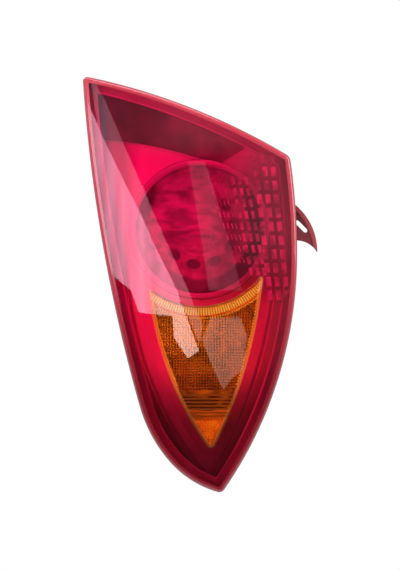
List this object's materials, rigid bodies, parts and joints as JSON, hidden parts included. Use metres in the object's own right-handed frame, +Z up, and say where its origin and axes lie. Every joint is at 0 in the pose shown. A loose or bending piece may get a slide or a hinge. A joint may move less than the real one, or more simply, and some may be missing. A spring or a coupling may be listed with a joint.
{
  "type": "tail light cluster",
  "caption": "Shield-shaped rear lamp unit with a crowned red lens, round stop chamber, amber turn window, slotted locating ear and rear fixing studs",
  "frame": {"origin": "root of the upper fixing stud, on the mounting face of the housing", "axes": "+Z up along the lamp's height, +Y out of the mounting face along the studs, so the lens faces -Y, +X towards the outboard edge with the ear"},
  "size_m": [0.2264, 0.14, 0.4006],
  "materials": {
    "red_lens": "polished see-through red moulding",
    "amber_lens": "polished see-through amber moulding",
    "clear_optic": "clear moulding with raised pads",
    "metallised": "vacuum-metallised plastic",
    "dark_trim": "gloss black moulding",
    "housing_black": "fine-grained black moulding",
    "ear_red": "dark red moulding",
    "holder_grey": "grey moulding",
    "connector_black": "black moulding",
    "seal": "soft sealing compound",
    "foam": "closed-cell foam",
    "steel": "zinc-plated steel",
    "brass": "pressed brass strip",
    "bulb_clear": "clear blown glass",
    "bulb_amber": "amber blown glass"
  },
  "bodies": {
    "root": {"outer_lens": "red_lens", "amber_lens": "amber_lens", "optic_panel": "clear_optic", "bezel": "metallised", "upper_trim": "dark_trim", "ring_trim": "metallised", "stop_mask": "metallised", "stop_reflector": "metallised", "turn_reflector": "metallised", "locating_ear": "ear_red", "housing": "housing_black", "lens_seal": "seal", "stop_bulb_glass": "bulb_clear", "stop_bulb_base": "brass", "stop_bulb_filaments": "steel", "turn_bulb_glass": "bulb_amber", "turn_bulb_base": "brass", "turn_bulb_filament": "steel", "bulb_holder": "holder_grey", "holder_gasket": "seal", "socket_springs": "steel", "tail_strip": "brass", "stop_strip": "brass", "turn_strip": "brass", "earth_strip": "brass", "connector_shell": "connector_black", "connector_blades": "brass", "upper_stud": "steel", "lower_stud": "steel", "body_gasket": "foam", "reflector_screws": "steel", "vent_cap": "seal"}
  },
  "joints": []
}
